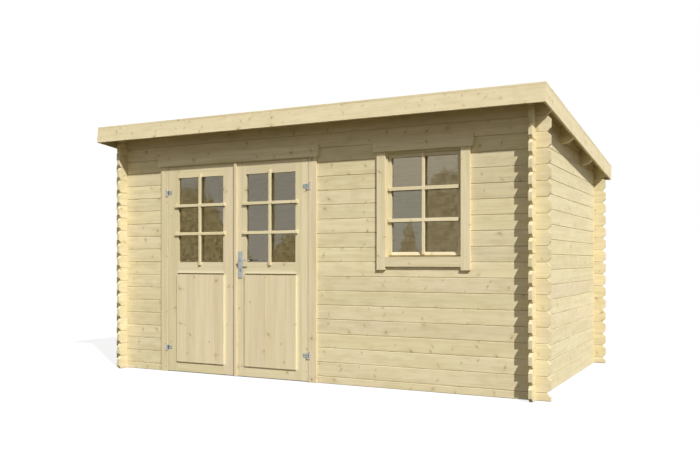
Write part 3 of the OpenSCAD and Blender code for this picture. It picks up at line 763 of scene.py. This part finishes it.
door_panel("left_leaf", 32)
door_panel("right_leaf", 34)

# ---- Painted shade strips, beads and tongues ----


def strip(name, low, high, material, body, edge):
    """A straight strip of joinery between two corners, with its edges rounded."""
    bm = bmesh.new()
    box_faces(bm, low, high)
    finish_piece(name, bm, [material], body, edge)


def panel_groove_shade(leaf):
    """A dark strip in front of the drip groove, between a leaf's panel and its rail: painted shade of the
    groove.
    """
    low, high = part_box(leaf + "_panel")
    face_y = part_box(leaf + "_rails")[0].y
    rail = corners_of(leaf + "_rails", lambda c: abs(c.z - high.z) < 0.03 and c.y < face_y + 0.001)
    top = max(c.z for c in rail)
    bottom = max(c.z for c in corners_of(leaf + "_panel", lambda c: c.y < face_y - 0.001))
    strip(leaf + "_panel_groove_shade", (low.x, face_y - 0.0020, bottom + 0.0003),
          (high.x, face_y - 0.0001, top - 0.0020), GROOVE_SHADE, leaf, 0.0004)


def groove_shade_material():
    """Dark brown, matt and finely grained: painted shade for the strip in front of the drip groove."""
    material, t, shader = new_material("groove_shade_strip")
    grain = noise(t, place(t), 420.0, 3.0)
    colour = mix_colour(t, grain, (0.12, 0.095, 0.040, 1), (0.17, 0.135, 0.060, 1))
    rough = ramp(t, grain, 0.2, 0.8, 0.75, 0.92, smooth=False)
    feed(t, shader, {"Base Color": colour, "Roughness": rough})
    return material


# Painted shade: a dark strip stands where the drip groove above each door panel lies in shade
GROOVE_SHADE = groove_shade_material()
panel_groove_shade("left_leaf")
panel_groove_shade("right_leaf")


def frame_beads():
    """Thin beads on the door frame that close most of the view into the gaps round the leaves:
    one under the header and one beside the left leaf."""
    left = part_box("left_leaf_stiles")
    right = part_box("right_leaf_stiles")
    inner = max(c.x for c in corners_of("door_trims", lambda c: c.x < left[0].x))
    face_y = left[0].y
    back = face_y + 0.012
    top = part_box("door_header")[0].z - GAP
    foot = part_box("door_trims")[0].z + GAP
    level = wood("door_head_bead", "x", seed=41, knots=0.1, middle=face_y)
    strip("door_head_bead", (left[0].x - 0.001, face_y + 0.0010, left[1].z + 0.0028),
          (right[1].x + 0.001, back, top), level, "root", 0.0006)
    upright = wood("door_side_bead", "z", pitch=0.3, origin=-1.5, seed=19, knots=0.0, middle=face_y)
    strip("door_side_bead", (inner + 0.0001, face_y + 0.0004, foot), (inner + 0.0032, back, top),
          upright, "root", 0.0006)


frame_beads()

TONGUE_INSET = 0.032             # from the end of a log to the end of its tongue
TONGUE_STOP = 0.012              # from an opening's frame to the end of a tongue
TONGUE_HALF = 0.004              # half the thickness of a tongue


def front_stretches(x0, x1, z):
    """The stretches between x0 and x1 where the doorway and the window don't cut a front joint."""
    stretches = [(x0, x1)]
    for jambs, head in (("door_jambs", "door_head"), ("window_frame", "window_frame")):
        low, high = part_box(jambs)
        left, right = low.x - TONGUE_STOP, high.x + TONGUE_STOP
        if low.z - TONGUE_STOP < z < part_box(head)[1].z + TONGUE_STOP:
            stretches = ([(a, min(b, left)) for a, b in stretches if a < left]
                         + [(max(a, right), b) for a, b in stretches if b > right])
    return stretches


def log_tongues():
    """Tongues between the rows of logs, which keep daylight out of the thin joints. They stop
    short of the chamfered ends, of the openings, and of the slope on the side walls."""
    bm = bmesh.new()
    for name, (lay, origin, *_) in LOG_WALLS.items():
        low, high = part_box(name)
        first = origin % LOG
        middle = (low.x + high.x) / 2 if lay == "y" else (low.y + high.y) / 2
        count = round((high.z - first) / LOG)
        for z in (first + LOG * k for k in range(1, count + 1)):
            if not low.z - 0.001 < z < high.z - 0.01:
                continue
            bottom, top = z - 0.0004, z + 0.0001
            if lay == "y":
                slope_y = WALL_FRONT + (FRONT_TOP - z) / math.tan(PITCH)
                end_y = min(high.y, slope_y) - TONGUE_INSET
                box_faces(bm, (middle - TONGUE_HALF, low.y + TONGUE_INSET, bottom),
                          (middle + TONGUE_HALF, end_y, top))
                continue
            ends = (low.x + TONGUE_INSET, high.x - TONGUE_INSET)
            stretches = front_stretches(*ends, z) if name.startswith("front") else [ends]
            for x0, x1 in stretches:
                box_faces(bm, (x0, middle - TONGUE_HALF, bottom), (x1, middle + TONGUE_HALF, top))
    tongue = wood("log_tongues", "x", seed=45, knots=0.0)
    finish_piece("log_tongues", bm, [tongue], "root")


log_tongues()

# ---- Lever ----


def lever():
    """A neck on each side of the leaf, bent over into a thin round grip."""
    low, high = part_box("lever_handle")
    axis = joint_place("handle_turn")
    leaf_low, leaf_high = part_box("right_leaf_stiles")
    bm = bmesh.new()
    for out, face_y, tip_y in ((-1, leaf_low.y, low.y), (1, leaf_high.y, high.y)):
        grip_y = tip_y - out * 0.005
        tube(bm, lever_path(axis, face_y, grip_y, high.x - axis.x, out))
    obj = finish_piece("lever", bm, [SATIN], "handle")
    for face in obj.data.polygons:
        face.use_smooth = True
    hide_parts("lever_handle")


def lever_path(axis, face_y, grip_y, length, out):
    """Points with radii: straight out of the plate, round the bend and along the grip."""
    bend = 0.013
    neck = 0.0085
    path = [(0, face_y - out * 0.018, neck), (0, grip_y - out * bend * 1.6, neck)]
    for step in range(7):
        turn = math.pi / 2 * step / 6
        y = grip_y - out * bend * (1 - math.sin(turn))
        path.append((bend * (1 - math.cos(turn)), y, 0.0075 - 0.0022 * step / 6))
    path += [(length * share, grip_y, 0.0052) for share in (0.35, 0.6, 0.85)]
    path += [(length - 0.004, grip_y, 0.0048), (length - 0.001, grip_y, 0.0030)]
    return [(Vector((axis.x + x, y, axis.z)), radius) for x, y, radius in path]


def tube(bm, path):
    """A closed tube through points with radii."""
    rings = []
    up = Vector((0, 0, 1))
    for i, (point, radius) in enumerate(path):
        before = path[max(i - 1, 0)][0]
        after = path[min(i + 1, len(path) - 1)][0]
        aside = (after - before).normalized().cross(up).normalized()
        rings.append(ring_of(bm, point, radius, aside, up, 20))
    skin(bm, rings)


lever()

# ---- Hinges ----

PIN_Y = joint_place("left_door_hinge").y
KNUCKLE = 0.0075                 # outer radius of a hinge knuckle
KNUCKLE_BORE = 0.0046            # inner radius of a hinge knuckle
STRAP_H = 0.035                  # height of a strap
STEEL = 0.003                    # thickness of straps and plates
RIB_H = 0.0092                   # height of a strap's rib
RIB_DEPTH = 0.0034               # how far a rib stands out
RIB_SHIFT = 0.0088               # from a strap's middle to a rib's
PLATE_SCREW_SHIFT = 0.030        # from a strap's middle to a plate's screw


def lathe(bm, profile, centre, axis, sides, material=0):
    """Turns a profile of (radius, height) points round an axis; a radius of 0 at an end closes
    the form there."""
    centre, axis = Vector(centre), Vector(axis)
    first = axis.orthogonal().normalized()
    second = axis.cross(first)
    rings = []
    for radius, height in profile:
        base = centre + axis * height
        rings.append(ring_of(bm, base, radius, first, second, sides if radius else 1))
    skin(bm, rings, material, caps=False)


def screw(bm, centre, axis, radius, material=0):
    """A countersunk screw head with a recess."""
    profile = [(1, -0.0006), (1, 0.0002), (0.86, 0.0007), (0.42, 0.0008), (0.30, -0.0006), (0, -0.0008)]
    lathe(bm, [(share * radius, height) for share, height in profile], centre, axis, 14, material)


def rounded_plate(bm, x0, x1, z0, z1, y_back, y_front, radius):
    """An upright plate with rounded corners."""
    outline = []
    for x, z, start in ((x1 - radius, z1 - radius, 0), (x0 + radius, z1 - radius, 90),
                        (x0 + radius, z0 + radius, 180), (x1 - radius, z0 + radius, 270)):
        outline += arc(x, z, radius, start, start + 90, 3)
    prism(bm, outline, y_back, y_front, TO_BACK)


def half_round(bm, x0, x1, z, height, depth, y_face, material):
    """A pressed rib along x: half a round bar with tapered ends."""
    spine = [(x0, 0.15), (x0 + 0.003, 0.8), (x0 + 0.006, 1.0),
             (x1 - 0.006, 1.0), (x1 - 0.003, 0.8), (x1, 0.15)]
    turns = [math.pi * k / 6 for k in range(7)]
    rings = [[bm.verts.new((x, y_face - depth * share * math.sin(a), z + height / 2 * share * math.cos(a)))
              for a in turns] for x, share in spine]
    skin(bm, rings, material)


def knuckle(bm, x, z0, z1):
    """The rolled eye of a hinge round its pin: a tube with worn, rounded rims."""
    worn = 0.0012
    tall = z1 - z0
    profile = [(KNUCKLE_BORE, 0), (KNUCKLE - worn, 0), (KNUCKLE, worn), (KNUCKLE, tall - worn),
               (KNUCKLE - worn, tall), (KNUCKLE_BORE, tall), (KNUCKLE_BORE, 0)]
    lathe(bm, profile, (x, PIN_Y, z0), (0, 0, 1), 24)


def hinge_straps(leaf, sign):
    """The halves of the hinges on a leaf: an eye, a ribbed plate and two screws each. The sign
    is the way along x from the pin to the leaf."""
    low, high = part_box(leaf + "_straps")
    face_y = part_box(leaf + "_stiles")[0].y
    pin_x, far_x = (low.x + KNUCKLE, high.x) if sign > 0 else (high.x - KNUCKLE, low.x)
    front_y = face_y - STEEL
    bm = bmesh.new()
    for z in (low.z + STRAP_H / 2, high.z - STRAP_H / 2):
        z0, z1 = z - STRAP_H / 2, z + STRAP_H / 2
        knuckle(bm, pin_x, z0, z1)
        x0, x1 = sorted((pin_x + sign * 0.0048, far_x))
        rounded_plate(bm, x0, x1, z0, z1, face_y - 0.0001, front_y, 0.0028)
        x0, x1 = sorted((pin_x + sign * 0.0085, far_x - sign * 0.003))
        # The ribs take the third material, the lighter zinc of their painted highlight
        for shift in (-RIB_SHIFT, RIB_SHIFT):
            half_round(bm, x0, x1, z + shift, RIB_H, RIB_DEPTH, front_y + 0.0003, 2)
        for share in (0.42, 0.82):
            screw(bm, (pin_x + (far_x - pin_x) * share, front_y, z), TO_FRONT, 0.0034, 1)
    obj = finish_piece(leaf + "_hinge_straps", bm, [ZINC, SCREW, RIB_HIGHLIGHT], leaf, 0.0004)
    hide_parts(leaf + "_straps")


hinge_straps("left_leaf", 1)
hinge_straps("right_leaf", -1)


def hinge_screws():
    """Screws of the hinge plates on the door trims."""
    low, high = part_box("hinge_plates")
    face_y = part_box("door_trims")[0].y - STEEL
    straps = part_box("left_leaf_straps")
    bm = bmesh.new()
    for x in (low.x + 0.010, high.x - 0.010):
        for z in (straps[0].z + STRAP_H / 2, straps[1].z - STRAP_H / 2):
            for shift in (-PLATE_SCREW_SHIFT, PLATE_SCREW_SHIFT):
                screw(bm, (x, face_y, z + shift), TO_FRONT, 0.0046)
    finish_piece("hinge_plate_screws", bm, [SCREW], "root")


hinge_screws()

# ---- Nails ----


def nail(bm, centre, axis=(0, 0, 1)):
    """A flat nail head with a rounded rim."""
    lathe(bm, [(0.0028, -0.0004), (0.0028, 0.0003), (0.0020, 0.0006), (0, 0.0006)], centre, axis, 10)


def spread(start, end, step):
    """Places at about the given step between two ends, both ends included."""
    count = max(round((end - start) / step), 1)
    return [start + (end - start) * i / count for i in range(count + 1)]


def purlin_middles():
    """How far back the middle of each purlin lies."""
    places = sorted(v.co.y for v in nodes["purlins"].data.vertices)
    groups = [[places[0]]]
    for y in places[1:]:
        if y - groups[-1][-1] > 0.08:
            groups.append([])
        groups[-1].append(y)
    return [(group[0] + group[-1]) / 2 for group in groups]


def roof_nails():
    """Nails that hold the roof boards to the purlins, and the laths and fascias to the roof."""
    (x0, v0, _), (x1, v1, w1) = roof_box("cover_laths")
    (deck_x0, _, _), (deck_x1, _, deck_top) = roof_box("roof_boards")
    front = roof_box("front_fascia")[0].y
    back = roof_box("back_fascia")[1].y
    inset, step = 0.028, 0.36
    bm = bmesh.new()
    for x in spread(x0 + inset, x1 - inset, step):
        nail(bm, (x, v0 + inset, w1))
        nail(bm, (x, v1 - inset, w1))
        nail(bm, (x, front, DECK_T / 2), TO_FRONT)
        nail(bm, (x, back, DECK_T / 2), (0, 1, 0))
    for v in spread(v0 + inset, v1 - inset, step)[1:-1]:
        nail(bm, (x0 + inset, v, w1))
        nail(bm, (x1 - inset, v, w1))
    width = (deck_x1 - deck_x0) / BOARD_COUNT
    for middle in purlin_middles():
        v = (middle - WALL_FRONT - deck_top * math.sin(PITCH)) / math.cos(PITCH)
        for i in range(1, BOARD_COUNT - 1):
            for share in (0.24, 0.76):
                nail(bm, (deck_x0 + width * (i + share), v, deck_top))
    bm.transform(ROOF)
    finish_piece("roof_nails", bm, [NAIL], "root")


def trim_nails():
    """Nails that hold the trims, headers and the apron to the wall."""
    bm = bmesh.new()
    for name in ("door_trims", "window_trims"):
        low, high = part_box(name)
        width = max(c.x for c in corners_of(name, lambda c: c.x < (low.x + high.x) / 2)) - low.x
        for x in (low.x + width / 2, high.x - width / 2):
            for z in spread(low.z + 0.10, high.z - 0.05, 0.42):
                nail(bm, (x, low.y, z), TO_FRONT)
    for name in ("door_header", "window_header", "window_apron"):
        low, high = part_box(name)
        for x in spread(low.x + 0.035, high.x - 0.035, 0.45):
            nail(bm, (x, low.y, (low.z + high.z) / 2), TO_FRONT)
    finish_piece("trim_nails", bm, [NAIL], "root")


roof_nails()
trim_nails()

# ---- Door furniture ----


CYLINDER_DROP = 0.079            # from the lever's axis down to the lock cylinder's
PLATE_SCREW_INSET = 0.014        # from the end of a handle plate to its screw


def furniture():
    """A rose round the lever's neck, a lock cylinder and two screws on each handle plate."""
    axis = joint_place("handle_turn")
    low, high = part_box("handle_plates")
    rose = [(0.0102, 0.0), (0.0155, 0.0), (0.0155, 0.0012), (0.0140, 0.0024), (0.0108, 0.0026), (0.0102, 0.0)]
    bm = bmesh.new()
    for out, face_y in ((-1, low.y), (1, high.y)):
        way = (0, out, 0)
        lathe(bm, rose, (axis.x, face_y - out * 0.0001, axis.z), way, 28)
        keyway(bm, axis.x, axis.z - CYLINDER_DROP, face_y, out)
        for z in (high.z - PLATE_SCREW_INSET, low.z + PLATE_SCREW_INSET):
            screw(bm, (axis.x, face_y, z), way, 0.0038, 1)
    finish_piece("lock_furniture", bm, [SATIN, SCREW], "right_leaf")


def keyway(bm, x, z, face_y, out):
    """The end of a profile cylinder: a round plug over a narrower tail, with a key slot."""
    front = face_y + out * 0.0016
    outline = arc(0, 0, 0.0085, -60, 240, 14)
    outline += [(-0.0050, -0.0190), (-0.0035, -0.0225), (0, -0.0240), (0.0035, -0.0225), (0.0050, -0.0190)]
    prism(bm, outline, face_y - out * 0.0001, front, TO_BACK, 1, (x, 0, z))
    slot = [(-0.0011, -0.0055), (0.0011, -0.0055), (0.0011, 0.0045), (-0.0011, 0.0045)]
    prism(bm, slot, front - out * 0.0002, front + out * 0.0002, TO_BACK, 0, (x, 0, z))


furniture()

# ---- Camera ----

camera_data = bpy.data.cameras.new("camera")
camera = add_object("camera", camera_data)
camera.location = (3.404, -6.997, 1.033)
camera.rotation_euler = (math.radians(90), 0, math.radians(27.06))
camera_data.sensor_width = 36
camera_data.lens = 40.38
camera_data.shift_y = 0.0386
bpy.context.scene.camera = camera

# ---- Light, floor and background ----

SKY = 0.455                      # light of the sky on the object
SUN_ENERGY = 3.80                # light from the front right
FILL_ENERGY = 0.90               # weak light from behind


def lamp(name, energy, spread, direction):
    """A far lamp whose light travels in the given direction."""
    data = bpy.data.lights.new(name, "SUN")
    data.energy = energy
    data.angle = math.radians(spread)
    made = add_object(name, data)
    made.rotation_euler = Vector(direction).to_track_quat("-Z", "Y").to_euler()


lamp("sun", SUN_ENERGY, 1.0, (-0.604, 0.4955, -0.624))
lamp("fill_from_behind", FILL_ENERGY, 25.0, (0.62, -0.74, -0.20))


def seen_directly(t):
    """1 where the camera sees a thing itself, in a mirror or through glass."""
    path = node(t, "LightPath").outputs
    seen = calc(t, "MAXIMUM", path["Is Camera Ray"], path["Is Glossy Ray"])
    return calc(t, "MAXIMUM", seen, path["Is Transmission Ray"])


def make_world():
    """White where it is seen, and a softer sky as light."""
    world = bpy.data.worlds.new("world")
    bpy.context.scene.world = world
    world.use_nodes = True
    t = world.node_tree
    t.nodes.clear()
    sky = node(t, "Background", {"Color": (1, 1, 1, 1), "Strength": SKY})
    white = node(t, "Background", {"Color": (1, 1, 1, 1), "Strength": 1.0})
    pick = node(t, "MixShader", {0: seen_directly(t), 1: sky.outputs[0], 2: white.outputs[0]})
    node(t, "OutputWorld", {"Surface": pick.outputs[0]})


def make_floor():
    """A pale floor that keeps the cabin's shadow. Inside the cabin it doesn't shine."""
    material, t, _ = new_material("floor")
    t.nodes.clear()
    beyond = [calc(t, "GREATER_THAN", calc(t, "ABSOLUTE", at), wall - LOG_T / 2)
              for at, wall in zip(parts(t, place(t)), (WALL_RIGHT, WALL_BACK))]
    outside = calc(t, "MAXIMUM", *beyond)
    bounce = node(t, "BsdfDiffuse", {"Color": (0.095, 0.085, 0.055, 1)})
    ground = mix_colour(t, outside, (0.78, 0.77, 0.75, 1), (0.22, 0.22, 0.22, 1))
    pale = node(t, "BsdfDiffuse", {"Color": ground})
    glow = node(t, "Emission", {"Color": (1, 1, 1, 1), "Strength": times(t, outside, 0.80)})
    shown = node(t, "AddShader", {0: pale.outputs[0], 1: glow.outputs[0]})
    pick = node(t, "MixShader", {0: seen_directly(t), 1: bounce.outputs[0], 2: shown.outputs[0]})
    node(t, "OutputMaterial", {"Surface": pick.outputs[0]})
    bm = bmesh.new()
    bmesh.ops.create_grid(bm, x_segments=8, y_segments=8, size=40)
    new_object("floor", bm, [material])


make_world()
make_floor()
bpy.context.scene.view_settings.view_transform = "Standard"
